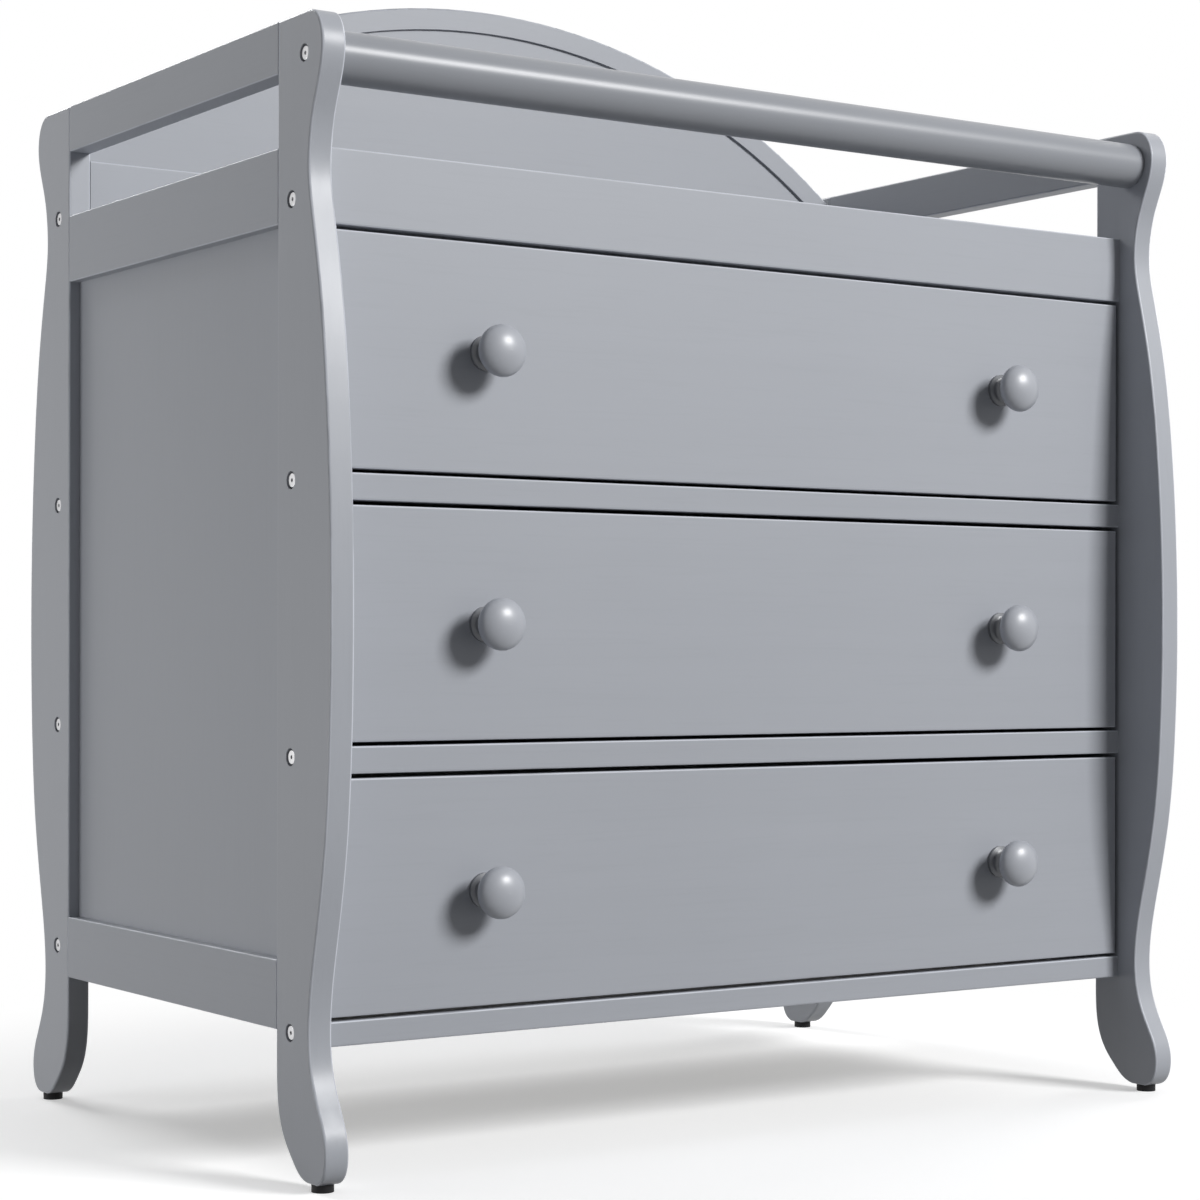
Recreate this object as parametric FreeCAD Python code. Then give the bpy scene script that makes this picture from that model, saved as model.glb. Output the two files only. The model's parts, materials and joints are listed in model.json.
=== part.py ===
# Changing dresser with three drawers, in mm. Z is up, the front faces -Y.
# The origin is on the floor, under the middle of the dresser.
import FreeCAD
import Part
import math
import os

V = FreeCAD.Vector

# ---------- case ----------
inner_half = 416.0            # half the clear width between the posts
post_thick = 20.0             # posts and side rails, along X
outer_half = inner_half + post_thick
seam_y = 197.5                # where the side rails meet the posts, front and back
glide_height = 6.0            # pads under the feet
arris = 1.8                   # rounding of the posts' long edges
soft_edge = 1.5               # rounding of the other visible edges
seam_edge = 0.8               # rounding of the side rails' ends at the seams

# ---------- front members ----------
front_out = 29.5                      # front face of the rails, out from the seam
front_y = -(seam_y + front_out)
front_board = 18.0                    # thickness of the apron, along Y
divider_depth = 62.0                  # divider rails and bottom rail, along Y
opening_height = 187.0                # each drawer opening
rail_height = 21.0                    # divider rails
bottom_rail_low = 102.0
first_opening = 121.0                 # underside of the lowest drawer opening
level_pitch = opening_height + rail_height
level_names = ["bottom", "middle", "top"]
level_floor = [first_opening + level_pitch * i for i in range(3)]
apron_low = level_floor[2] + opening_height
apron_wide = 58.0                     # height of the apron and the side middle rails
apron_high = apron_low + apron_wide

# ---------- side frames ----------
side_gap = 56.0                       # between the side middle rail and the side top rail
side_top_low = apron_high + side_gap
side_top_wide = 40.0                  # height of the side top rail
post_top = side_top_low + side_top_wide
side_bottom_low = 114.5
side_bottom_wide = 53.0
side_bottom_high = side_bottom_low + side_bottom_wide
panel_thick = 10.0
tongue = 8.0                          # the panel's edge in its rebate

# ---------- outline of the posts: distance out from the seam, and height ----------
# The rounded top down to the neck, as depths under the post's top.
neck_down = 98.0
top_edge = [(48.0, 0.0), (63.0, 6.0), (70.5, 25.0), (67.0, 47.0), (56.5, 73.0), (50.5, neck_down)]
# Waist and belly. They stretch with the distance between the neck and the ankle.
ankle = 143.5
drawn_length = 636.5
stretch = (post_top - neck_down - ankle) / drawn_length
belly_edge = [
    (49.5, 757.0), (55.5, 724.0), (66.5, 674.0), (78.0, 588.5), (84.0, 499.0),
    (85.5, 416.0), (82.5, 320.5), (75.0, 247.5), (62.5, 187.0),
]
# The foot, from the ankle to the toe.
foot_edge = [
    (53.5, ankle), (51.5, 112.5), (56.0, 85.5), (66.5, 62.5), (76.0, 43.5),
    (78.5, 28.0), (74.5, 13.5), (63.5, glide_height),
]
post_edge = [(out, post_top - down) for out, down in top_edge]
post_edge += [(out, ankle + (z - ankle) * stretch) for out, z in belly_edge]
post_edge += foot_edge
# The heel, from the sole back up to the straight edge at the seam.
heel_edge = [
    (48.0, glide_height), (35.5, 10.5), (24.0, 20.5), (12.5, 33.5),
    (5.0, 48.0), (1.0, 66.5), (0.0, 91.5),
]

# ---------- hand bar ----------
bar_radius = 20.0
bar_out = 42.0                        # the bar's axis out from the seam
bar_y = -(seam_y + bar_out)
bar_down = 31.0                       # the bar's axis under the posts' tops
bar_z = post_top - bar_down
bar_end_round = 1.5

# ---------- back ----------
back_board = 34.0                     # thickness of the back rails
# middles of the two back rails between the drawers
back_rail_middle = [level_floor[1] + 6.5, level_floor[2] - 8.0]
head_thick = 20.0
head_down = 46.0                      # the headboard's lower edge under the posts' tops
head_low = post_top - head_down
crest_rise = 138.0                    # middle of the arch over the posts' tops
crest_top = post_top + crest_rise
spring_down = 10.0                    # ends of the arch under the posts' tops
band_width = 20.0                     # raised band along the crest
band_raise = 3.0
back_sheet = 4.0
back_sheet_low = 125.0
back_sheet_down = 20.0                # its upper edge under the headboard
back_sheet_high = head_low - back_sheet_down

# ---------- tray ----------
tray_up = 4.0                         # the tray floor above the apron's lower edge
tray_low = apron_low + tray_up
tray_thick = 12.0
cleat = 18.0

# ---------- drawers ----------
face_side_gap = 3.0
face_low_gap = 3.0
face_high_gap = 3.5
face_thick = 18.0
box_side = 12.0
slide_space = 12.0                    # between the drawer box and the side frame
box_half = inner_half - slide_space   # outer half width of the drawer box
box_low = 14.0                        # box sides above the opening's floor
box_height = 130.0
box_back_gap = 30.5                   # behind the drawer box, to the seam
box_back_y = seam_y - box_back_gap
housing = 6.0                         # depth of the grooves and housings
sheet = 5.0                           # drawer bottom
sheet_up = 8.0                        # groove above the lower edge of the sides
knob_in = 146.5                       # a knob's axis from the post beside it
knob_x = inner_half - knob_in
knob_up = [0.0, 0.0, 4.0]             # knobs above the middle of each front, lowest first

# ---------- knobs: radius and reach from the drawer face ----------
knob_base_radius = 14.0
knob_base_thick = 3.0
knob_collar_radius = 11.2
knob_collar_reach = 4.6
knob_neck_radius = 6.8
knob_neck_reach = 9.8
knob_head_radius = 20.6
knob_head_half = 11.5                 # half the head's thickness
knob_head_reach = 25.5                # middle of the head
knob_head_start = -60.0               # angle where the head meets the neck
knob_screw_radius = 2.0
knob_screw_grip = 14.0                # thread inside the knob
knob_screw_room = 1.0                 # bore past the screw's tip
knob_screw_gap = 0.3                  # clearance in the drawer face
screw_head_radius = 4.5
screw_head_thick = 2.5

# ---------- drawer slides ----------
metal = 1.2
channel_low = 20.0                    # above the opening's floor
channel_height = 30.0
channel_wide = 9.0
slide_start = 5.0                     # behind the drawer face
slide_front_y = front_y + face_thick + slide_start
channel_length = 360.0
wing_length = 350.0
wing_height = 22.0
roller_radius = 6.0
roller_wide = 5.0
roller_gap = 0.4
roller_in = 2.0                       # roller's rim from the end of its slide
wing_gap = 1.0                        # wing's edge from the channel's web

# ---------- fasteners ----------
bolt_radius = 3.0
bolt_fit = 0.05
bolt_hole = 3.3
bolt_head_radius = 5.5
bolt_head_thick = 3.0
bolt_head_round = 0.6
bolt_head_in = 1.0                    # the head lies this deep under the post's face
bolt_seat_radius = 6.8
bolt_reach = 30.0                     # beyond the post's inner face
bolt_room = 2.0                       # bore past the bolt's tip
socket_flats = 3.0
socket_deep = 1.8
nut_radius = 5.0
nut_length = 14.0
nut_in = 24.0                         # nut's middle from the member's end
nut_cover = 2.0                       # wood left over a nut that lies along Y
nut_bore = 40.0                       # runs out through the member's hidden face
dowel_radius = 4.0
dowel_fit = 0.05
dowel_length = 30.0
dowel_room = 0.5                      # bore past each end of a dowel
top_dowel_in = 10.0                   # from either edge of the side top rail
middle_dowel_low = 20.0               # above the lower edge of the side middle rail
middle_dowel_high = 14.0              # under its upper edge
bottom_dowel_low = 10.0               # above the lower edge of the side bottom rail
bottom_dowel_high = 39.0
front_bolt_out = 22.0                 # bolt line out from the seam, front posts
back_bolt_out = 24.0                  # bolt line out from the seam, back posts
rail_bolt_up = 3.0                    # bolts above the middle of the front rails
apron_bolt_up = 16.5                  # above the apron's lower edge
apron_bolt_z = apron_low + apron_bolt_up
back_top_bolt_z = apron_high
back_bottom_bolt_up = 26.0            # above the side bottom rail's lower edge
back_bottom_bolt_z = side_bottom_low + back_bottom_bolt_up
glide_radius = 8.5
glide_out = 56.0
glide_pin_radius = 2.0
glide_pin_length = 16.0
over = 1.0                            # a cutter runs past an open face by this


def box(x0, x1, y0, y1, z0, z1):
    return Part.makeBox(x1 - x0, y1 - y0, z1 - z0, V(x0, y0, z0))


def rod(radius, length, start, direction):
    return Part.makeCylinder(radius, length, start, direction)


def round_edges(shape, radius, wanted):
    """Round the edges that the test picks out."""
    edges = [e for e in shape.Edges if wanted(e)]
    return shape.makeFillet(radius, edges)


def along(edge, axis):
    """True for a straight edge that runs along one axis."""
    if len(edge.Vertexes) != 2:
        return False
    a = edge.Vertexes[0].Point
    b = edge.Vertexes[1].Point
    d = b - a
    size = d.Length
    return size > 0.1 and abs(abs(d.dot(axis)) - size) < 1e-6


def mirror_x(shape):
    return shape.mirror(V(0, 0, 0), V(1, 0, 0))


def mirror_y(shape):
    return shape.mirror(V(0, 0, 0), V(0, 1, 0))


def group(shapes):
    return Part.makeCompound(shapes)


def save(name, shape):
    shape.exportStep(os.path.join("parts", name + ".step"))
    print(name, "valid", shape.isValid(), "volume cm3", round(shape.Volume / 1000.0, 1))


# ---------- where the bolts go ----------
front_bolt_y = -(seam_y + front_bolt_out)
back_bolt_y = seam_y + back_bolt_out
divider_low = [level_floor[1] - rail_height, level_floor[2] - rail_height]
divider_bolt_z = [z + rail_height / 2 + rail_bolt_up for z in divider_low]
bottom_bolt_z = (bottom_rail_low + first_opening) / 2 + rail_bolt_up
front_bolts = [(bar_y, bar_z), (front_bolt_y, apron_bolt_z), (front_bolt_y, bottom_bolt_z)]
front_bolts += [(front_bolt_y, z) for z in divider_bolt_z]
back_bolts = [(back_bolt_y, back_top_bolt_z), (back_bolt_y, back_bottom_bolt_z)]
back_bolts += [(back_bolt_y, z) for z in back_rail_middle]

# Pairs of dowel heights that join each side rail to the posts.
dowel_heights = [
    side_top_low + top_dowel_in, post_top - top_dowel_in,
    apron_low + middle_dowel_low, apron_high - middle_dowel_high,
    side_bottom_low + bottom_dowel_low, side_bottom_low + bottom_dowel_high,
]


def dowel_at(x, z, seam, radius, extra):
    """A dowel across the seam between a post and a side rail."""
    reach = dowel_length / 2 + extra
    return rod(radius, 2 * reach, V(x, seam - reach, z), V(0, 1, 0))


dowel_x = (inner_half + outer_half) / 2


# ---------- posts ----------
def post_blank():
    """The front left post before boring, from its outline in the YZ plane."""
    def at(p):
        return V(-outer_half, -(seam_y + p[0]), p[1])

    front = Part.BSplineCurve()
    front.interpolate([at(p) for p in post_edge])
    heel = Part.BSplineCurve()
    heel.interpolate([at(p) for p in heel_edge])
    top_corner = V(-outer_half, -seam_y, post_top)
    edges = [
        Part.makeLine(top_corner, at(post_edge[0])),
        front.toShape(),
        Part.makeLine(at(post_edge[-1]), at(heel_edge[0])),
        heel.toShape(),
        Part.makeLine(at(heel_edge[-1]), top_corner),
    ]
    blank = Part.Face(Part.Wire(edges)).extrude(V(post_thick, 0, 0))

    def outline(e):
        flat = e.BoundBox.XLength < 0.01
        at_seam = e.BoundBox.YLength < 0.01
        return flat and not at_seam

    return round_edges(blank, arris, outline)


def post(bolts):
    """A left front post bored for the given bolts, each at (Y, Z)."""
    shape = post_blank()
    cuts = []
    for y, z in bolts:
        cuts.append(rod(bolt_hole, post_thick, V(-outer_half, y, z), V(1, 0, 0)))
        seat = bolt_head_in + bolt_head_thick
        cuts.append(rod(bolt_seat_radius, seat, V(-outer_half, y, z), V(1, 0, 0)))
    for z in dowel_heights:
        cuts.append(dowel_at(-dowel_x, z, -seam_y, dowel_radius + dowel_fit, dowel_room))
    cuts.append(box(-inner_half - panel_thick, -inner_half, -seam_y - tongue, -seam_y,
                    side_bottom_high - tongue, apron_low + tongue))
    pin = V(-dowel_x, -(seam_y + glide_out), 0)
    cuts.append(rod(glide_pin_radius + bolt_fit, glide_height + glide_pin_length + dowel_room,
                    pin, V(0, 0, 1)))
    return shape.cut(cuts)


# ---------- bolts ----------
def bolt_left(y, z):
    """A bolt that enters from the left face, with a hexagon socket."""
    head_start = -outer_half + bolt_head_in
    head = rod(bolt_head_radius, bolt_head_thick, V(head_start, y, z), V(1, 0, 0))
    rim = [e for e in head.Edges if abs(e.CenterOfMass.x - head_start) < 0.01]
    head = head.makeFillet(bolt_head_round, rim)
    shank_length = post_thick - bolt_head_in - bolt_head_thick + bolt_reach
    shank = rod(bolt_radius, shank_length, V(head_start + bolt_head_thick, y, z), V(1, 0, 0))
    corner = socket_flats / 2 / math.cos(math.pi / 6)
    points = []
    for i in range(7):
        turn = math.radians(60 * i)
        points.append(V(head_start, y + corner * math.cos(turn), z + corner * math.sin(turn)))
    socket = Part.Face(Part.makePolygon(points)).extrude(V(socket_deep, 0, 0))
    return head.fuse(shank).cut(socket)


def bore_ends(shape, y, z, nut_axis, nut_start):
    """Bore both ends of a cross member for its bolts and barrel nuts."""
    cuts = []
    for side in (-1, 1):
        cuts.append(rod(bolt_hole, bolt_reach + bolt_room, V(side * inner_half, y, z),
                        V(-side, 0, 0)))
        if nut_axis is not None:
            x = side * (inner_half - nut_in)
            start = V(x, y, z) + nut_start
            cuts.append(rod(nut_radius + bolt_fit, nut_bore, start, nut_axis))
    return shape.cut(cuts)


def nut_pair(y, z, axis, middle_shift):
    """Barrel nuts at both ends of a cross member, cross-bored for the bolt."""
    pair = []
    for side in (-1, 1):
        x = side * (inner_half - nut_in)
        middle = V(x, y, z) + axis * middle_shift
        nut = rod(nut_radius, nut_length, middle - axis * (nut_length / 2), axis)
        bore = rod(bolt_radius + bolt_fit, 4 * nut_radius, V(x - 2 * nut_radius, y, z), V(1, 0, 0))
        pair.append(nut.cut(bore))
    return pair


# ---------- headboard ----------
# The arch springs from the back posts, a little under their tops.
arch_height = crest_rise + spring_down
crest_radius = (inner_half ** 2 + arch_height ** 2) / (2 * arch_height)


def arched_board(inset, y, thick):
    """A board under the arch, with its curved edge set in by the given distance."""
    centre_z = crest_top - crest_radius
    radius = crest_radius - inset
    spring_z = centre_z + math.sqrt(radius ** 2 - inner_half ** 2)
    spring_right = V(inner_half, 0, spring_z)
    spring_left = V(-inner_half, 0, spring_z)
    low_right = V(inner_half, 0, head_low)
    low_left = V(-inner_half, 0, head_low)
    edges = [
        Part.makeLine(low_right, spring_right),
        Part.Arc(spring_right, V(0, 0, centre_z + radius), spring_left).toShape(),
        Part.makeLine(spring_left, low_left),
        Part.makeLine(low_left, low_right),
    ]
    board = Part.Face(Part.Wire(edges)).extrude(V(0, thick, 0))
    board.translate(V(0, y, 0))
    return board


head_dowel_x = [-300.0, -100.0, 100.0, 300.0]


def head_dowel(x, radius, extra):
    """A dowel between the headboard and the rail under it."""
    reach = dowel_length / 2 + extra
    y = seam_y + (band_raise + head_thick) / 2
    return rod(radius, 2 * reach, V(x, y, head_low - reach), V(0, 0, 1))


def headboard():
    board = arched_board(0.0, seam_y, head_thick)

    def crest_edge(e):
        arc = isinstance(e.Curve, Part.Circle)
        return arc and abs(e.BoundBox.YLength) < 1e-6

    board = round_edges(board, arris, crest_edge)
    field = arched_board(band_width, seam_y - over, band_raise + over)
    cuts = [field]
    for x in head_dowel_x:
        cuts.append(head_dowel(x, dowel_radius + dowel_fit, dowel_room))
    return board.cut(cuts)


# ---------- drawers ----------
def knob_solid(x, z):
    """A turned knob on the drawer face, hollow for its screw."""
    def at(radius, reach):
        return V(radius, -reach, 0)

    start = math.radians(knob_head_start)
    join = (knob_head_radius * math.cos(start), knob_head_reach + knob_head_half * math.sin(start))
    turns = [start + (math.pi / 2 - start) * i / 8.0 for i in range(9)]
    head_points = []
    for turn in turns:
        radius = max(0.0, knob_head_radius * math.cos(turn))
        head_points.append(at(radius, knob_head_reach + knob_head_half * math.sin(turn)))
    head = Part.BSplineCurve()
    head.interpolate(head_points)
    tip = at(0, knob_head_reach + knob_head_half)
    edges = [
        Part.makeLine(at(0, 0), at(knob_base_radius, 0)),
        Part.makeLine(at(knob_base_radius, 0), at(knob_base_radius, knob_base_thick)),
        Part.makeLine(at(knob_base_radius, knob_base_thick),
                      at(knob_collar_radius, knob_collar_reach)),
        Part.Arc(at(knob_collar_radius, knob_collar_reach),
                 at(knob_neck_radius, knob_neck_reach), at(*join)).toShape(),
        head.toShape(),
        Part.makeLine(tip, at(0, 0)),
    ]
    solid = Part.Face(Part.Wire(edges)).revolve(V(0, 0, 0), V(0, 1, 0), 360)
    if solid.Volume < 0:
        solid.reverse()
    bore = rod(knob_screw_radius + bolt_fit, knob_screw_grip + knob_screw_room, V(0, 0, 0),
               V(0, -1, 0))
    solid = solid.cut(bore)
    solid.translate(V(x, front_y, z))
    return solid


def knob_screw(x, z):
    back = front_y + face_thick
    head = rod(screw_head_radius, screw_head_thick, V(x, back, z), V(0, 1, 0))
    shank = rod(knob_screw_radius, face_thick + knob_screw_grip, V(x, back, z), V(0, -1, 0))
    return head.fuse(shank)


def drawer_pieces(floor_z, knob_rise):
    """All the wooden pieces of one drawer, keyed by their short names."""
    side_low = floor_z + box_low
    side_high = side_low + box_height
    sheet_low = side_low + sheet_up
    sheet_high = sheet_low + sheet
    face_back = front_y + face_thick
    face_low = floor_z + face_low_gap
    face_high = floor_z + opening_height - face_high_gap
    half = inner_half - face_side_gap
    knob_z = (face_low + face_high) / 2 + knob_rise
    inner = box_half - box_side

    front = box(-half, half, front_y, face_back, face_low, face_high)

    def front_rim(e):
        c = e.CenterOfMass
        on_face = abs(c.y - front_y) < 0.01
        return on_face and e.BoundBox.YLength < 1e-6

    front = round_edges(front, soft_edge, front_rim)
    cuts = [box(-inner - housing, inner + housing, face_back - housing, face_back,
                sheet_low, sheet_high)]
    for side in (-1, 1):
        xs = sorted((side * box_half, side * inner))
        cuts.append(box(xs[0], xs[1], face_back - housing, face_back, side_low, side_high))
        cuts.append(rod(knob_screw_radius + knob_screw_gap, face_thick,
                        V(side * knob_x, front_y, knob_z), V(0, 1, 0)))
    front = front.cut(cuts)

    left = box(-box_half, -inner, face_back - housing, box_back_y, side_low, side_high)
    left = left.cut(box(-inner - housing, -inner, face_back - housing, box_back_y,
                        sheet_low, sheet_high))
    back = box(-inner, inner, box_back_y - box_side, box_back_y, sheet_high, side_high)
    bottom = box(-inner - housing, inner + housing, face_back - housing, box_back_y,
                 sheet_low, sheet_high)
    knobs = group([knob_solid(s * knob_x, knob_z) for s in (-1, 1)])
    screws = group([knob_screw(s * knob_x, knob_z) for s in (-1, 1)])
    return {
        "front": front,
        "side_left": left,
        "side_right": mirror_x(left),
        "back": back,
        "bottom": bottom,
        "knobs": knobs,
        "knob_screws": screws,
    }


# ---------- slides ----------
def case_runner(floor_z):
    """The fixed left slide: a channel on the side panel with a roller at its mouth."""
    low = floor_z + channel_low
    high = low + channel_height
    y0 = slide_front_y
    y1 = y0 + channel_length
    x0 = -inner_half
    outer = box(x0, x0 + channel_wide, y0, y1, low, high)
    hollow = box(x0 + metal, x0 + channel_wide + over, y0 - over, y1 + over, low + metal,
                 high - metal)
    channel = outer.cut(hollow)
    centre_z = (low + high) / 2 - metal / 2 - roller_gap - roller_radius
    roller = rod(roller_radius, roller_wide,
                 V(x0 + metal, y0 + roller_radius + roller_in, centre_z), V(1, 0, 0))
    return [channel, roller]


def drawer_runner(floor_z):
    """The moving left slide: a strip on the box side with a wing and a rear roller."""
    mid = floor_z + channel_low + channel_height / 2
    y0 = slide_front_y
    y1 = y0 + wing_length
    x1 = -box_half
    strip = box(x1 - metal, x1, y0, y1, mid - wing_height / 2, mid + wing_height / 2)
    wing_tip = -inner_half + metal + wing_gap
    wing = box(wing_tip, x1 - metal, y0, y1, mid - metal / 2, mid + metal / 2)
    roller_y = y1 - roller_radius - roller_in
    centre_z = mid - metal / 2 - roller_gap - roller_radius
    roller = rod(roller_radius, roller_wide, V(x1 - metal - roller_wide, roller_y, centre_z),
                 V(1, 0, 0))
    return [strip.fuse(wing), roller]


# ---------- build ----------
def build():
    os.makedirs("parts", exist_ok=True)

    # posts and their pads
    front_left = post(front_bolts)
    back_left = mirror_y(post([(-y, z) for y, z in back_bolts]))
    save("post_front_left", front_left)
    save("post_front_right", mirror_x(front_left))
    save("post_back_left", back_left)
    save("post_back_right", mirror_x(back_left))
    pads = []
    for sx in (-1, 1):
        for sy in (-1, 1):
            spot = V(sx * dowel_x, sy * (seam_y + glide_out), 0)
            pad = rod(glide_radius, glide_height, spot, V(0, 0, 1))
            pin = rod(glide_pin_radius, glide_pin_length, spot + V(0, 0, glide_height), V(0, 0, 1))
            pads.append(pad.fuse(pin))
    save("foot_glides", group(pads))

    # side frames
    def side_rail(low, high, rebates):
        rail = box(-outer_half, -inner_half, -seam_y, seam_y, low, high)
        cuts = []
        for z0, z1 in rebates:
            cuts.append(box(-inner_half - panel_thick, -inner_half, -seam_y, seam_y, z0, z1))
        for z in dowel_heights:
            if low < z < high:
                for seam in (-seam_y, seam_y):
                    cuts.append(dowel_at(-dowel_x, z, seam, dowel_radius + dowel_fit, dowel_room))

        def end_outer(e):
            return along(e, V(0, 0, 1)) and abs(abs(e.CenterOfMass.x) - outer_half) < 0.01

        def long_outer(e):
            c = e.CenterOfMass
            near_face = abs(abs(c.x) - outer_half) < 0.01 or not rebates
            return e.BoundBox.YLength > seam_y and e.BoundBox.ZLength < 0.01 and near_face

        rail = round_edges(rail, seam_edge, end_outer)
        return round_edges(rail, soft_edge, long_outer).cut(cuts)

    rails = {
        "side_rail_top": side_rail(side_top_low, post_top, []),
        "side_rail_middle": side_rail(apron_low, apron_high, [(apron_low, apron_low + tongue)]),
        "side_rail_bottom": side_rail(side_bottom_low, side_bottom_high,
                                      [(side_bottom_high - tongue, side_bottom_high)]),
    }
    for name, rail in rails.items():
        save(name + "_left", rail)
        save(name + "_right", mirror_x(rail))
    panel = box(-inner_half - panel_thick, -inner_half, -seam_y - tongue, seam_y + tongue,
                side_bottom_high - tongue, apron_low + tongue)
    save("side_panel_left", panel)
    save("side_panel_right", mirror_x(panel))

    # hand bar
    bar = rod(bar_radius, 2 * inner_half, V(-inner_half, bar_y, bar_z), V(1, 0, 0))
    bar = bar.makeFillet(bar_end_round, [e for e in bar.Edges if abs(e.BoundBox.XLength) < 1e-6])
    cuts = []
    for side in (-1, 1):
        cuts.append(rod(bolt_radius + bolt_fit, bolt_reach + bolt_room,
                        V(side * inner_half, bar_y, bar_z), V(-side, 0, 0)))
    save("hand_bar", bar.cut(cuts))

    # front members
    def front_edges(e):
        c = e.CenterOfMass
        return along(e, V(1, 0, 0)) and abs(c.y - front_y) < 0.01

    nuts = []
    apron = box(-inner_half, inner_half, front_y, front_y + front_board, apron_low, apron_high)
    apron = round_edges(apron, soft_edge, lambda e: along(e, V(1, 0, 0)))
    nut_front = front_y + nut_cover
    shift = nut_front + nut_length / 2 - front_bolt_y
    save("apron", bore_ends(apron, front_bolt_y, apron_bolt_z, V(0, 1, 0),
                            V(0, nut_front - front_bolt_y, 0)))
    nuts += nut_pair(front_bolt_y, apron_bolt_z, V(0, 1, 0), shift)
    nut_top = nut_length / 2 - rail_bolt_up
    for name, low in (("divider_rail_lower", divider_low[0]),
                      ("divider_rail_upper", divider_low[1])):
        rail = box(-inner_half, inner_half, front_y, front_y + divider_depth, low,
                   low + rail_height)
        rail = round_edges(rail, soft_edge, front_edges)
        z = low + rail_height / 2 + rail_bolt_up
        save(name, bore_ends(rail, front_bolt_y, z, V(0, 0, -1), V(0, 0, nut_top)))
        nuts += nut_pair(front_bolt_y, z, V(0, 0, 1), -rail_bolt_up)
    rail = box(-inner_half, inner_half, front_y, front_y + divider_depth, bottom_rail_low,
               first_opening)
    rail = round_edges(rail, soft_edge, front_edges)
    save("bottom_rail_front", bore_ends(rail, front_bolt_y, bottom_bolt_z, V(0, 0, -1),
                                        V(0, 0, nut_top)))
    nuts += nut_pair(front_bolt_y, bottom_bolt_z, V(0, 0, 1), -rail_bolt_up)

    # back members
    save("headboard", headboard())
    back_face = seam_y + back_board
    board = box(-inner_half, inner_half, seam_y, back_face, apron_low, head_low)

    def long_top(e):
        return along(e, V(1, 0, 0)) and abs(e.CenterOfMass.z - head_low) < 0.01

    board = round_edges(board, soft_edge, long_top)
    nut_back = back_face - nut_cover
    back_shift = nut_back - nut_length / 2 - back_bolt_y
    board = bore_ends(board, back_bolt_y, back_top_bolt_z, V(0, 1, 0),
                      V(0, nut_back - nut_length - back_bolt_y, 0))
    board = board.cut([head_dowel(x, dowel_radius + dowel_fit, dowel_room) for x in head_dowel_x])
    save("back_rail_top", board)
    nuts += nut_pair(back_bolt_y, back_top_bolt_z, V(0, 1, 0), back_shift)
    for name, z in zip(("back_rail_lower", "back_rail_upper"), back_rail_middle):
        rail = box(-inner_half, inner_half, seam_y, back_face, z - rail_height / 2,
                   z + rail_height / 2)
        save(name, bore_ends(rail, back_bolt_y, z, V(0, 0, -1), V(0, 0, nut_length / 2)))
        nuts += nut_pair(back_bolt_y, z, V(0, 0, 1), 0.0)
    rail = box(-inner_half, inner_half, seam_y, back_face, side_bottom_low, side_bottom_high)
    save("back_rail_bottom", bore_ends(rail, back_bolt_y, back_bottom_bolt_z, V(0, 1, 0),
                                       V(0, nut_back - nut_length - back_bolt_y, 0)))
    nuts += nut_pair(back_bolt_y, back_bottom_bolt_z, V(0, 1, 0), back_shift)
    save("back_panel", box(-inner_half, inner_half, back_face, back_face + back_sheet,
                           back_sheet_low, back_sheet_high))

    # fasteners
    bolts = [bolt_left(y, z) for y, z in front_bolts + back_bolts]
    bolts += [mirror_x(b) for b in bolts]
    save("frame_bolts", group(bolts))
    save("barrel_nuts", group(nuts))
    dowels = []
    for z in dowel_heights:
        for x in (-dowel_x, dowel_x):
            for seam in (-seam_y, seam_y):
                dowels.append(dowel_at(x, z, seam, dowel_radius, 0.0))
    dowels += [head_dowel(x, dowel_radius, 0.0) for x in head_dowel_x]
    save("frame_dowels", group(dowels))

    # tray
    apron_back = front_y + front_board
    save("tray_floor", box(-inner_half, inner_half, apron_back, seam_y, tray_low,
                           tray_low + tray_thick))
    cleat_low = tray_low - cleat
    span = inner_half - cleat
    cleats = [
        box(-inner_half, -span, apron_back, seam_y, cleat_low, tray_low),
        box(span, inner_half, apron_back, seam_y, cleat_low, tray_low),
        box(-span, span, apron_back, apron_back + cleat, cleat_low, tray_low),
        box(-span, span, seam_y - cleat, seam_y, cleat_low, tray_low),
    ]
    save("tray_cleats", group(cleats))

    # drawers and slides
    for level, floor_z, knob_rise in zip(level_names, level_floor, knob_up):
        for name, shape in drawer_pieces(floor_z, knob_rise).items():
            save("drawer_%s_%s" % (level, name), shape)
        fixed = case_runner(floor_z)
        moving = drawer_runner(floor_z)
        save("case_runners_" + level, group(fixed + [mirror_x(s) for s in fixed]))
        save("drawer_%s_runners" % level, group(moving + [mirror_x(s) for s in moving]))


build()
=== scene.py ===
# Changing dresser with three drawers, dressed for a picture.
# Metres throughout: the front faces -Y and the floor is at Z = 0.
import json
import math
import bpy
from mathutils import Matrix, Vector

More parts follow.
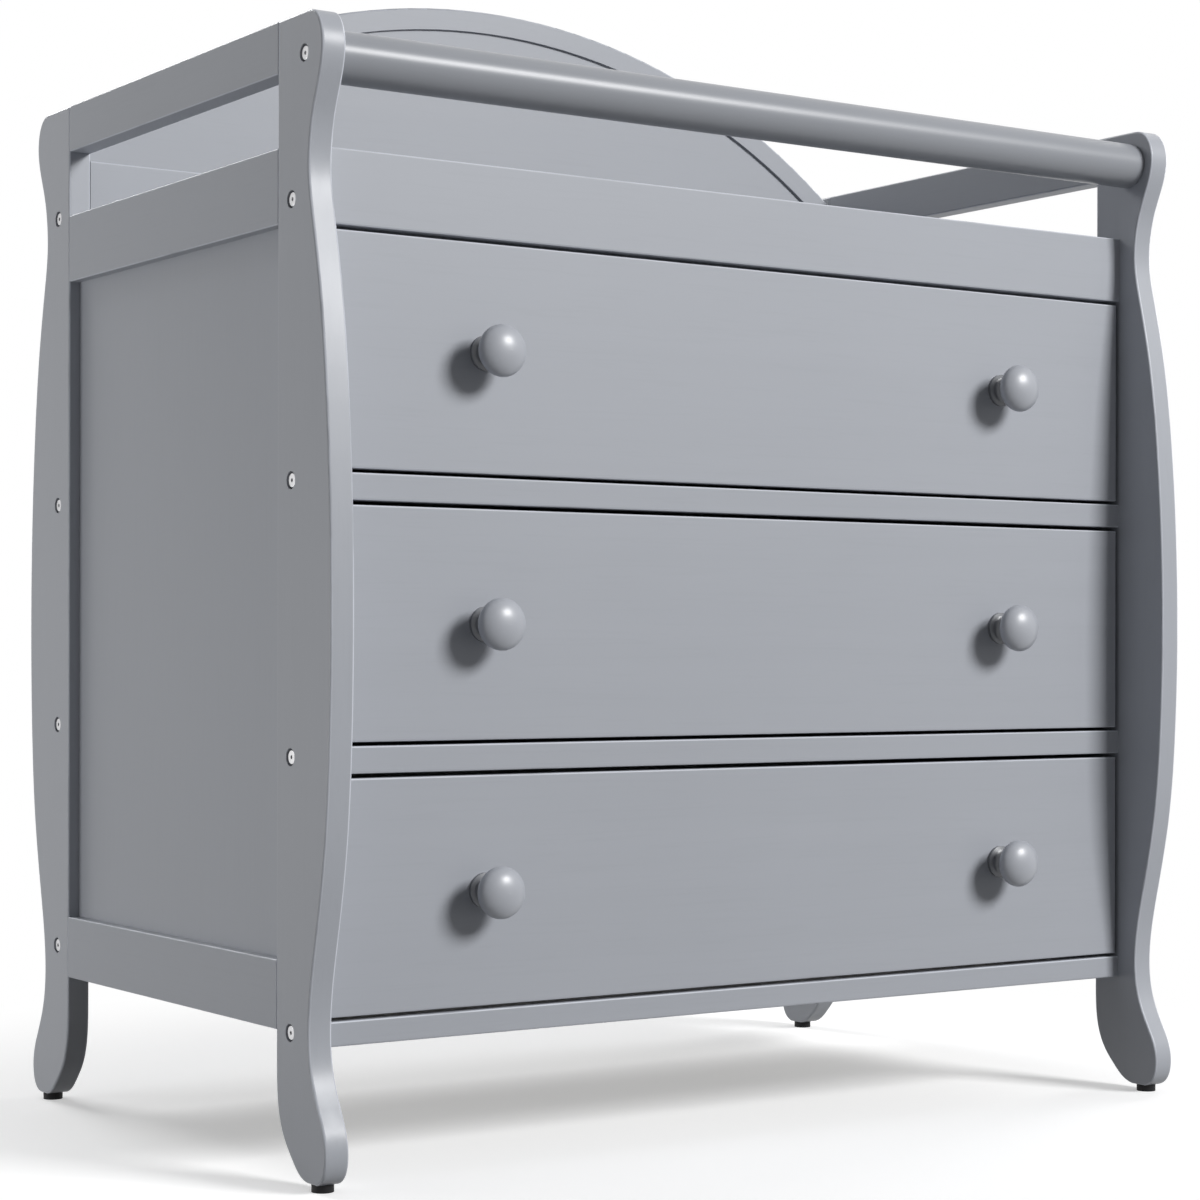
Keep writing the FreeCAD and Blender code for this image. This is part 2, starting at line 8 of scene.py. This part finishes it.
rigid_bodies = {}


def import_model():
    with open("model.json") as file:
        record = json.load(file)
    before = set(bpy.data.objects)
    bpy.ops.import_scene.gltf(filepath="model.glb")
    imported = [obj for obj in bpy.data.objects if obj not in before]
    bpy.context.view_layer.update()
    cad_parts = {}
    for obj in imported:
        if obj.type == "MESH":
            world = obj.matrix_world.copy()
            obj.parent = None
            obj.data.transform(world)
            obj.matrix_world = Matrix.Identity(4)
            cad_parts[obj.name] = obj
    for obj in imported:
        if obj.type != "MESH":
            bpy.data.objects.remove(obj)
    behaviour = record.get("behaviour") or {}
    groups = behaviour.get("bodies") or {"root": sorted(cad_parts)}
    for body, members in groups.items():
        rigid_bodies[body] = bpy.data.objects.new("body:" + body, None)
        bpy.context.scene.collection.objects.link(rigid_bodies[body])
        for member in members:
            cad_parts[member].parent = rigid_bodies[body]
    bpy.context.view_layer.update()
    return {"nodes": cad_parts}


for leftover in list(bpy.data.objects):
    bpy.data.objects.remove(leftover)  # begin with an empty scene

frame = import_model()  # frame["nodes"] holds the imported solids by name
nodes = frame["nodes"]
levels = ["bottom", "middle", "top"]
sides = ["left", "right"]
print("frame loaded,", len(nodes), "nodes")


# A socket that can stand in a sum: each operator adds a Math node.
class Wire:
    def __init__(self, recipe, plug):
        self.recipe = recipe
        self.plug = plug

    def __add__(self, other):
        return self.recipe.maths("ADD", self, other)

    def __radd__(self, other):
        return self.recipe.maths("ADD", other, self)

    def __sub__(self, other):
        return self.recipe.maths("SUBTRACT", self, other)

    def __rsub__(self, other):
        return self.recipe.maths("SUBTRACT", other, self)

    def __mul__(self, other):
        return self.recipe.maths("MULTIPLY", self, other)

    def __rmul__(self, other):
        return self.recipe.maths("MULTIPLY", other, self)

    def __abs__(self):
        return self.recipe.maths("ABSOLUTE", self)


# The node tree of one material, or of the world.
class Recipe:
    def __init__(self, owner):
        self.owner = owner
        owner.use_nodes = True
        self.tree = owner.node_tree
        self.tree.nodes.clear()

    # Settings go in first, then the value or link of each socket.
    def add(self, kind, settings=None, sockets=None, out=0):
        node = self.tree.nodes.new("ShaderNode" + kind)
        for name, value in (settings or {}).items():
            setattr(node, name, value)
        for name, value in (sockets or {}).items():
            if isinstance(value, Wire):
                self.tree.links.new(value.plug, node.inputs[name])
            else:
                node.inputs[name].default_value = value
        return Wire(self, node.outputs[out] if len(node.outputs) else None)

    def maths(self, operation, first, second=0.0):
        return self.add("Math", {"operation": operation}, {0: first, 1: second})

    # The colours of a Mix node are its inputs 6 and 7 and its output 2.
    def mixColours(self, amount, first, second):
        settings = {"data_type": "RGBA", "blend_type": "MIX"}
        return self.add("Mix", settings, {0: amount, 6: first, 7: second}, out=2)

    def stretch(self, vector, factors):
        return self.add("VectorMath", {"operation": "MULTIPLY"}, {0: vector, 1: factors})

    def noise(self, vector, scale, detail):
        return self.add("TexNoise", {}, {"Vector": vector, "Scale": scale, "Detail": detail})

    # Rises smoothly from 0 at low to 1 at high.
    def ease(self, value, low, high):
        settings = {"interpolation_type": "SMOOTHSTEP"}
        return self.add("MapRange", settings, {0: value, 1: low, 2: high, 3: 0.0, 4: 1.0})

    # 1 on a rounded edge beside the faces that look along the axis, 0 elsewhere.
    # It fades in over the first pair of slopes and out again over the second.
    def roundedEdge(self, axis, fadeIn, fadeOut):
        normal = self.add("NewGeometry", out="Normal")
        facing = abs(self.add("SeparateXYZ", {}, {0: normal}, out=axis))
        return self.ease(facing, *fadeIn) * (1 - self.ease(facing, *fadeOut))

    def surface(self, shader):
        self.add("OutputMaterial", {}, {"Surface": shader})
        return self.owner

    # The material from its colour, roughness, height in metres and other sockets.
    def skin(self, colour, roughness, height, others=None):
        bump = {"Strength": 1.0, "Distance": 1.0, "Height": height}
        sockets = {
            "Base Color": colour,
            "Roughness": roughness,
            "Normal": self.add("Bump", {}, bump, out="Normal"),
        }
        sockets.update(others or {})
        return self.surface(self.add("BsdfPrincipled", {}, sockets))


def shade(colour, factor=1.0):
    return (colour[0] * factor, colour[1] * factor, colour[2] * factor, 1.0)


# How much each texture is squeezed along the board, so that it runs with the grain.
grainAlong = {
    "X": (0.035, 1.0, 1.0),
    "Y": (1.0, 0.035, 1.0),
    "Z": (1.0, 1.0, 0.035),
}

# Every noise is given as its scale and detail, every depth in metres.
greyPaint = {
    "colour": (0.392, 0.409, 0.447),
    "drift": 0.035,              # the tone wanders this much over a board
    "driftNoise": (3.5, 3.0),
    "streak": 0.02,              # and this much in streaks along it
    "streakNoise": (55.0, 3.0),
    "edgeWearAndHighlightTone": 1.62,            # lighter rounded edges: thinner paint, and a painted highlight along the arrises
    "edgeReach": 0.9,
    "edgeFadeIn": (0.08, 0.4),
    "edgeFadeOut": (0.85, 0.99),
    "wornNoise": (16.0, 3.0),    # it comes and goes in patches
    "wornAndLit": (0.2, 0.5),
    "gloss": 0.3,
    "roughness": 0.44,
    "streakRough": 0.10,         # what streaks, drift and wear do to the roughness
    "driftRough": 0.05,
    "wornSmooth": 0.06,
    "coat": 0.04,
    "coatRoughness": 0.28,
    "peelNoise": (260.0, 1.0),   # orange peel of the sprayed paint
    "peelDepth": 0.000018,
    "grainNoise": (420.0, 3.0),  # wood grain that shows through it
    "grainDepth": 0.000012,
    "pores": (0.56, 0.66),       # open pores in that grain
    "poreTone": 0.7,
    "poreShow": 0.05,
    "poreDepth": 0.000006,
}


# Satin grey paint over wood. Grain names the axis along the board, and edge the
# axis that its faces look along. Polish comes off the roughness and adds to the coat.
def paintedWood(name, grain, edge, toneAndShade=1.0, polish=0.0):
    s = greyPaint
    paint = Recipe(bpy.data.materials.new(name))
    place = paint.add("TexCoord", out="Object")
    along = paint.stretch(place, grainAlong[grain])
    drift = paint.noise(place, *s["driftNoise"])
    streak = paint.noise(along, *s["streakNoise"])
    peel = paint.noise(place, *s["peelNoise"])
    fibre = paint.noise(along, *s["grainNoise"])
    pores = paint.ease(fibre, *s["pores"])
    spread = s["drift"] + s["streak"]
    share = s["drift"] / spread
    # The tone scales the colour: a small tone from board to board, and on some boards painted
    # shade.
    dark = shade(s["colour"], toneAndShade * (1 - spread))
    light = shade(s["colour"], toneAndShade * (1 + spread))
    body = paint.mixColours(drift * share + streak * (1 - share), dark, light)
    # Rounded edges come out lighter: worn thin paint, and a painted highlight where the arrises
    # catch the light.
    patches = paint.ease(paint.noise(place, *s["wornNoise"]), *s["wornAndLit"])
    wornAndLit = paint.roundedEdge(edge, s["edgeFadeIn"], s["edgeFadeOut"]) * patches
    edgeWearAndHighlightColour = shade(s["colour"], toneAndShade * s["edgeWearAndHighlightTone"])
    poreColour = shade(s["colour"], toneAndShade * s["poreTone"])
    body = paint.mixColours(wornAndLit * s["edgeReach"], body, edgeWearAndHighlightColour)
    body = paint.mixColours(pores * s["poreShow"], body, poreColour)
    rough = s["roughness"] - polish + s["streakRough"] * (streak - 0.5)
    rough = rough + s["driftRough"] * (drift - 0.5) - s["wornSmooth"] * wornAndLit
    height = peel * s["peelDepth"] + fibre * s["grainDepth"] - pores * s["poreDepth"]
    return paint.skin(body, rough, height, {
        "Specular IOR Level": s["gloss"],
        "Coat Weight": s["coat"] + polish,
        "Coat Roughness": s["coatRoughness"],
    })


knobPaint = {
    "colour": (0.385, 0.401, 0.440),
    "drift": 0.03,
    "driftNoise": (22.0, 2.0),
    "neckTone": 0.40,            # painted shadow of the head, darkening the neck behind it
    "neck": (0.2365, 0.2475),    # where the painted shadow fades, from the middle of the case along Y
    "roughness": 0.38,
    "driftRough": 0.06,
    "coat": 0.4,
    "coatRoughness": 0.26,
    "rippleNoise": (130.0, 1.0),
    "rippleDepth": 0.00003,
    "nibNoise": (900.0, 1.0),    # specks of dust under the paint
    "nibs": (0.72, 0.8),
    "nibDepth": 0.00001,
}


# Gloss paint on turned knobs, with painted shade on the neck behind the head.
def glossKnob(name):
    s = knobPaint
    paint = Recipe(bpy.data.materials.new(name))
    place = paint.add("TexCoord", out="Object")
    drift = paint.noise(place, *s["driftNoise"])
    ripple = paint.noise(place, *s["rippleNoise"])
    nibs = paint.ease(paint.noise(place, *s["nibNoise"]), *s["nibs"])
    dark = shade(s["colour"], 1 - s["drift"])
    light = shade(s["colour"], 1 + s["drift"])
    body = paint.mixColours(drift, dark, light)
    # Painted shade: the neck behind the head is darkened for the head's shadow.
    forward = abs(paint.add("SeparateXYZ", {}, {0: place}, out="Y"))
    neck = 1 - paint.ease(forward, *s["neck"])
    body = paint.mixColours(neck, body, shade(s["colour"], s["neckTone"]))
    rough = s["roughness"] + s["driftRough"] * drift
    height = ripple * s["rippleDepth"] + nibs * s["nibDepth"]
    return paint.skin(body, rough, height, {
        "Coat Weight": s["coat"],
        "Coat Roughness": s["coatRoughness"],
    })


drawerBoard = {
    "pale": (0.70, 0.665, 0.60),
    "deep": (0.56, 0.515, 0.44),
    "figureNoise": (26.0, 5.0),  # broad figure, fine lines and a slow bend in both
    "figureShare": 0.7,
    "lineNoise": (364.0, 2.0),
    "lineShare": 0.25,
    "lineDepth": 0.00002,
    "bendNoise": (5.0, 2.0),
    "bendShare": 0.2,
    "deepening": (0.42, 0.78),
    "roughness": 0.5,
    "lineRough": 0.1,
}


# Pale foil with a faint wood figure, on the drawer boxes.
def foiledBoard(name, grain):
    s = drawerBoard
    foil = Recipe(bpy.data.materials.new(name))
    place = foil.add("TexCoord", out="Object")
    along = foil.stretch(place, grainAlong[grain])
    bend = foil.noise(place, *s["bendNoise"])
    figure = foil.noise(along, *s["figureNoise"])
    lines = foil.noise(along, *s["lineNoise"])
    wood = figure * s["figureShare"] + lines * s["lineShare"] + bend * s["bendShare"]
    body = foil.mixColours(foil.ease(wood, *s["deepening"]), shade(s["pale"]), shade(s["deep"]))
    rough = s["roughness"] + s["lineRough"] * (lines - 0.5)
    return foil.skin(body, rough, lines * s["lineDepth"])


backSheet = {
    "colour": (0.40, 0.412, 0.44),
    "spread": 0.07,
    "driftNoise": (2.5, 4.0),
    "fibreNoise": (160.0, 4.0),
    "fibreShare": 0.4,           # of the spread, and the drift has the rest
    "fibreDepth": 0.00003,
    "roughness": 0.62,
    "fibreRough": 0.1,
    "screenNoise": (900.0, 0.0),  # print of the press's screen
    "screenDepth": 0.00004,
}


# Pressed fibre sheet with a matt grey face.
def pressedSheet(name):
    s = backSheet
    sheet = Recipe(bpy.data.materials.new(name))
    place = sheet.add("TexCoord", out="Object")
    drift = sheet.noise(place, *s["driftNoise"])
    fibres = sheet.noise(place, *s["fibreNoise"])
    screen = sheet.noise(place, *s["screenNoise"])
    amount = drift * (1 - s["fibreShare"]) + fibres * s["fibreShare"]
    dark = shade(s["colour"], 1 - s["spread"])
    light = shade(s["colour"], 1 + s["spread"])
    rough = s["roughness"] + s["fibreRough"] * (fibres - 0.5)
    height = screen * s["screenDepth"] + fibres * s["fibreDepth"]
    return sheet.skin(sheet.mixColours(amount, dark, light), rough, height)


beech = {
    "pale": (0.60, 0.40, 0.22),
    "deep": (0.42, 0.25, 0.12),
    "figureAlong": (1.0, 0.1, 1.0),
    "figureNoise": (300.0, 4.0),
    "figureDepth": 0.00005,
    "fleckAlong": (1.0, 0.3, 1.0),
    "fleckNoise": (1500.0, 1.0),
    "flecks": (0.6, 0.7),
    "fleckShare": 0.3,           # of the deep tone, and the figure has the rest
    "roughness": 0.6,
    "figureRough": 0.1,
}


# Bare beech of the dowels.
def bareBeech(name):
    s = beech
    wood = Recipe(bpy.data.materials.new(name))
    place = wood.add("TexCoord", out="Object")
    figure = wood.noise(wood.stretch(place, s["figureAlong"]), *s["figureNoise"])
    specks = wood.noise(wood.stretch(place, s["fleckAlong"]), *s["fleckNoise"])
    flecks = wood.ease(specks, *s["flecks"])
    amount = figure * (1 - s["fleckShare"]) + flecks * s["fleckShare"]
    body = wood.mixColours(amount, shade(s["pale"]), shade(s["deep"]))
    rough = s["roughness"] + s["figureRough"] * (figure - 0.5)
    return wood.skin(body, rough, figure * s["figureDepth"])


slideEnamel = {
    "colour": (0.74, 0.74, 0.72),
    "rubbed": (0.52, 0.52, 0.51),
    "runAlong": (1.0, 0.05, 1.0),
    "runNoise": (320.0, 3.0),
    "runs": (0.55, 0.7),
    "runShow": 0.4,
    "roughness": 0.3,
    "runRough": 0.15,
    "peelNoise": (600.0, 1.0),
    "peelDepth": 0.00002,
}


# White enamel of the steel slides, rubbed grey where the rollers run.
def whiteEnamel(name):
    s = slideEnamel
    enamel = Recipe(bpy.data.materials.new(name))
    place = enamel.add("TexCoord", out="Object")
    runs = enamel.noise(enamel.stretch(place, s["runAlong"]), *s["runNoise"])
    peel = enamel.noise(place, *s["peelNoise"])
    rubbed = enamel.ease(runs, *s["runs"]) * s["runShow"]
    body = enamel.mixColours(rubbed, shade(s["colour"]), shade(s["rubbed"]))
    rough = s["roughness"] + s["runRough"] * rubbed
    return enamel.skin(body, rough, peel * s["peelDepth"])


platedSteel = {
    "bright": (0.66, 0.66, 0.67),
    "dull": (0.46, 0.46, 0.47),
    "cloudNoise": (420.0, 3.0),
    "roughness": 0.24,
    "cloudRough": 0.16,
    "scuffNoise": (2600.0, 1.0),
    "scuffDepth": 0.00001,
}


# Bright plating on bolts, nuts and screws, tumbled smooth.
def brightPlating(name):
    s = platedSteel
    plating = Recipe(bpy.data.materials.new(name))
    place = plating.add("TexCoord", out="Object")
    cloud = plating.noise(place, *s["cloudNoise"])
    scuffs = plating.noise(place, *s["scuffNoise"])
    body = plating.mixColours(cloud, shade(s["bright"]), shade(s["dull"]))
    rough = s["roughness"] + s["cloudRough"] * cloud
    return plating.skin(body, rough, scuffs * s["scuffDepth"], {"Metallic": 1.0})


glidePlastic = {
    "colour": (0.010, 0.010, 0.011),
    "scuffed": (0.022, 0.022, 0.023),
    "scuffNoise": (240.0, 3.0),
    "scuffs": (0.55, 0.75),
    "scuffShow": 0.5,
    "roughness": 0.55,
    "scuffRough": 0.2,
    "gloss": 0.2,
    "mouldNoise": (1800.0, 1.0),  # grainy skin of the mould
    "mouldDepth": 0.00003,
}


# Black moulded plastic of the pads under the feet.
def blackPlastic(name):
    s = glidePlastic
    plastic = Recipe(bpy.data.materials.new(name))
    place = plastic.add("TexCoord", out="Object")
    mould = plastic.noise(place, *s["mouldNoise"])
    scuffs = plastic.ease(plastic.noise(place, *s["scuffNoise"]), *s["scuffs"])
    amount = scuffs * s["scuffShow"]
    body = plastic.mixColours(amount, shade(s["colour"]), shade(s["scuffed"]))
    rough = s["roughness"] + s["scuffRough"] * scuffs
    height = mould * s["mouldDepth"]
    return plastic.skin(body, rough, height, {"Specular IOR Level": s["gloss"]})


def wear(finish, names):
    for name in names:
        for slot in nodes[name].material_slots:
            slot.material = finish


def bothSides(*stems):
    return [stem + side for stem in stems for side in sides]


# The painted boards of the case. Tones differ a little from board to board, and the darker tones
# of the top rails, bar, headboard and back rails are painted shade.
caseBoards = {
    "paintPosts": {
        "grain": "Z", "edge": "X", "toneAndShade": 1.0, "polish": 0.07,
        "nodes": bothSides("post_front_", "post_back_"),
    },
    "paintSideRails": {
        "grain": "Y", "edge": "X", "toneAndShade": 0.985, "polish": 0.0,
        "nodes": bothSides("side_rail_middle_", "side_rail_bottom_"),
    },
    # painted shade: the top rails are toned darker for the shade that falls on them
    "paintTopRails": {
        "grain": "Y", "edge": "X", "toneAndShade": 0.92, "polish": 0.0,
        "nodes": bothSides("side_rail_top_"),
    },
    "paintSidePanels": {
        "grain": "Z", "edge": "X", "toneAndShade": 1.01, "polish": 0.0,
        "nodes": bothSides("side_panel_"),
    },
    # painted shade: the bar is toned darker for the shade on its rounded face
    "paintBar": {
        "grain": "X", "edge": "X", "toneAndShade": 0.74, "polish": 0.11,
        "nodes": ["hand_bar"],
    },
    "paintApron": {
        "grain": "X", "edge": "Y", "toneAndShade": 1.0, "polish": 0.0,
        "nodes": ["apron"],
    },
    "paintFrontRails": {
        "grain": "X", "edge": "Y", "toneAndShade": 0.99, "polish": 0.0,
        "nodes": ["divider_rail_lower", "divider_rail_upper", "bottom_rail_front"],
    },
    # painted shade: the headboard is toned darker for the shade it stands in
    "paintHeadboard": {
        "grain": "X", "edge": "Y", "toneAndShade": 0.90, "polish": 0.0,
        "nodes": ["headboard"],
    },
    # painted shade: the back rails are toned darker for the shade they stand in
    "paintBackRails": {
        "grain": "X", "edge": "Y", "toneAndShade": 0.94, "polish": 0.0,
        "nodes": ["back_rail_top", "back_rail_upper", "back_rail_lower", "back_rail_bottom"],
    },
    "paintTray": {
        "grain": "X", "edge": "Z", "toneAndShade": 1.0, "polish": 0.0,
        "nodes": ["tray_floor"],
    },
    "paintCleats": {
        "grain": "X", "edge": "Z", "toneAndShade": 0.97, "polish": 0.0,
        "nodes": ["tray_cleats"],
    },
}


def dressCase():
    for name, s in caseBoards.items():
        wear(paintedWood(name, s["grain"], s["edge"], s["toneAndShade"], s["polish"]), s["nodes"])
    wear(pressedSheet("backSheet"), ["back_panel"])
    wear(brightPlating("plating"), ["frame_bolts", "barrel_nuts"])
    wear(bareBeech("beech"), ["frame_dowels"])
    wear(blackPlastic("glides"), ["foot_glides"])


frontTones = {"bottom": 0.995, "middle": 1.0, "top": 1.005}


def dressDrawers():
    fronts = {}
    for level in levels:
        fronts[level] = paintedWood("paintFront_" + level, "X", "Y", frontTones[level])
    knobs = glossKnob("knobPaint")
    screws = bpy.data.materials["plating"]
    lengthways = foiledBoard("boardSides", "Y")
    crossways = foiledBoard("boardBacks", "X")
    enamel = whiteEnamel("enamel")
    for level in levels:
        drawer = "drawer_%s_" % level
        wear(fronts[level], [drawer + "front"])
        wear(knobs, [drawer + "knobs"])
        wear(screws, [drawer + "knob_screws"])
        wear(lengthways, bothSides(drawer + "side_"))
        wear(crossways, [drawer + "back", drawer + "bottom"])
        wear(enamel, [drawer + "runners", "case_runners_" + level])


dressCase()
dressDrawers()
print("finishes on,", len(bpy.data.materials), "materials")

white = (1.0, 1.0, 1.0)


# 1 for what the camera sees, straight or in a gloss or through glass.
def seenRays(recipe):
    straight = recipe.add("LightPath", out="Is Camera Ray")
    gloss = recipe.add("LightPath", out="Is Glossy Ray")
    through = recipe.add("LightPath", out="Is Transmission Ray")
    return recipe.maths("MINIMUM", straight + gloss + through, 1.0)


floorPlan = {
    "radius": 40.0,
    "corners": 96,
    "level": 0.80,
    "bounce": 0.22,              # what the object's paint gets from it
    "glow": 0.39,                # added where it is seen, so the open floor is white
    "fade": (0.42, 0.9),         # over this reach the floor turns into the backdrop
}


def layFloor():
    s = floorPlan
    turns = [2 * math.pi * i / s["corners"] for i in range(s["corners"])]
    rim = [(s["radius"] * math.cos(a), s["radius"] * math.sin(a), 0.0) for a in turns]
    disc = bpy.data.meshes.new("floor")
    disc.from_pydata(rim, [], [tuple(range(s["corners"]))])
    floor = bpy.data.objects.new("floor", disc)
    bpy.context.scene.collection.objects.link(floor)
    stone = Recipe(bpy.data.materials.new("floorFinish"))
    plain = stone.add("BsdfDiffuse", {}, {"Color": shade(white, s["level"])})
    dim = stone.add("BsdfDiffuse", {}, {"Color": shade(white, s["bounce"])})
    glow = stone.add("Emission", {}, {"Color": shade(white), "Strength": s["glow"]})
    lifted = stone.add("AddShader", {}, {0: plain, 1: glow})
    backdrop = stone.add("Emission", {}, {"Color": shade(white), "Strength": 1.0})
    spot = stone.add("NewGeometry", out="Position")
    reach = stone.add("VectorMath", {"operation": "LENGTH"}, {0: spot}, out="Value")
    far = stone.ease(reach, *s["fade"])
    shown = stone.add("MixShader", {}, {0: far, 1: lifted, 2: backdrop})
    whole = stone.add("MixShader", {}, {0: seenRays(stone), 1: dim, 2: shown})
    disc.materials.append(stone.surface(whole))


sky = {
    "light": (0.97, 0.985, 1.0),
    "strength": 0.12,
}


def lightSky():
    world = bpy.data.worlds.new("sky")
    bpy.context.scene.world = world
    air = Recipe(world)
    lit = {"Color": shade(sky["light"]), "Strength": sky["strength"]}
    soft = air.add("Background", {}, lit)
    backdrop = air.add("Background", {}, {"Color": shade(white), "Strength": 1.0})
    mixed = air.add("MixShader", {}, {0: seenRays(air), 1: soft, 2: backdrop})
    air.add("OutputWorld", {}, {"Surface": mixed})


# Soft boxes: turn is degrees right of straight in front, rise is degrees up.
softBoxes = {
    "key": {"turn": 28.0, "rise": 27.0, "away": 7.0, "wide": 2.4, "tall": 1.9, "power": 455.0},
    "fill": {"turn": -112.0, "rise": -4.0, "away": 2.6, "wide": 1.4, "tall": 0.6, "power": 15.0},
    "rim": {"turn": 102.0, "rise": 24.0, "away": 3.0, "wide": 0.7, "tall": 1.4, "power": 16.0},
    "back": {"turn": -167.0, "rise": 36.0, "away": 4.5, "wide": 2.0, "tall": 1.6, "power": 90.0},
}
aim = Vector((0.0, 0.0, 0.5))  # the middle of the case


def hangLamps():
    for name, s in softBoxes.items():
        lamp = bpy.data.lights.new(name, "AREA")
        lamp.shape = "RECTANGLE"
        lamp.size = s["wide"]
        lamp.size_y = s["tall"]
        lamp.energy = s["power"]
        box = bpy.data.objects.new(name, lamp)
        turn, rise = math.radians(s["turn"]), math.radians(s["rise"])
        flat = math.cos(rise)
        way = Vector((math.sin(turn) * flat, -math.cos(turn) * flat, math.sin(rise)))
        box.location = aim + way * s["away"]
        box.rotation_euler = way.to_track_quat("Z", "Y").to_euler()
        bpy.context.scene.collection.objects.link(box)


cameraPlan = {
    "place": (-1.3989, -2.0601, 0.4037),
    "heading": 34.04,            # degrees right of +Y
    "tilt": 90.0,                # from straight down, so it looks level
    "roll": 0.11,
    "sensor": 36.0,              # millimetres, as is the lens
    "lens": 82.49,
    "shiftUp": 0.0403,
}


def turned(degrees, axis):
    return Matrix.Rotation(math.radians(degrees), 4, axis)


def placeCamera():
    s = cameraPlan
    lens = bpy.data.cameras.new("camera")
    lens.sensor_width = s["sensor"]
    lens.lens = s["lens"]
    lens.shift_y = s["shiftUp"]
    camera = bpy.data.objects.new("camera", lens)
    bpy.context.scene.collection.objects.link(camera)
    facing = turned(-s["heading"], "Z") @ turned(s["tilt"], "X") @ turned(s["roll"], "Z")
    camera.matrix_world = Matrix.Translation(s["place"]) @ facing
    bpy.context.scene.camera = camera


layFloor()
lightSky()
hangLamps()
placeCamera()
bpy.context.scene.view_settings.view_transform = "Standard"
print("stage, lamps and camera in place")
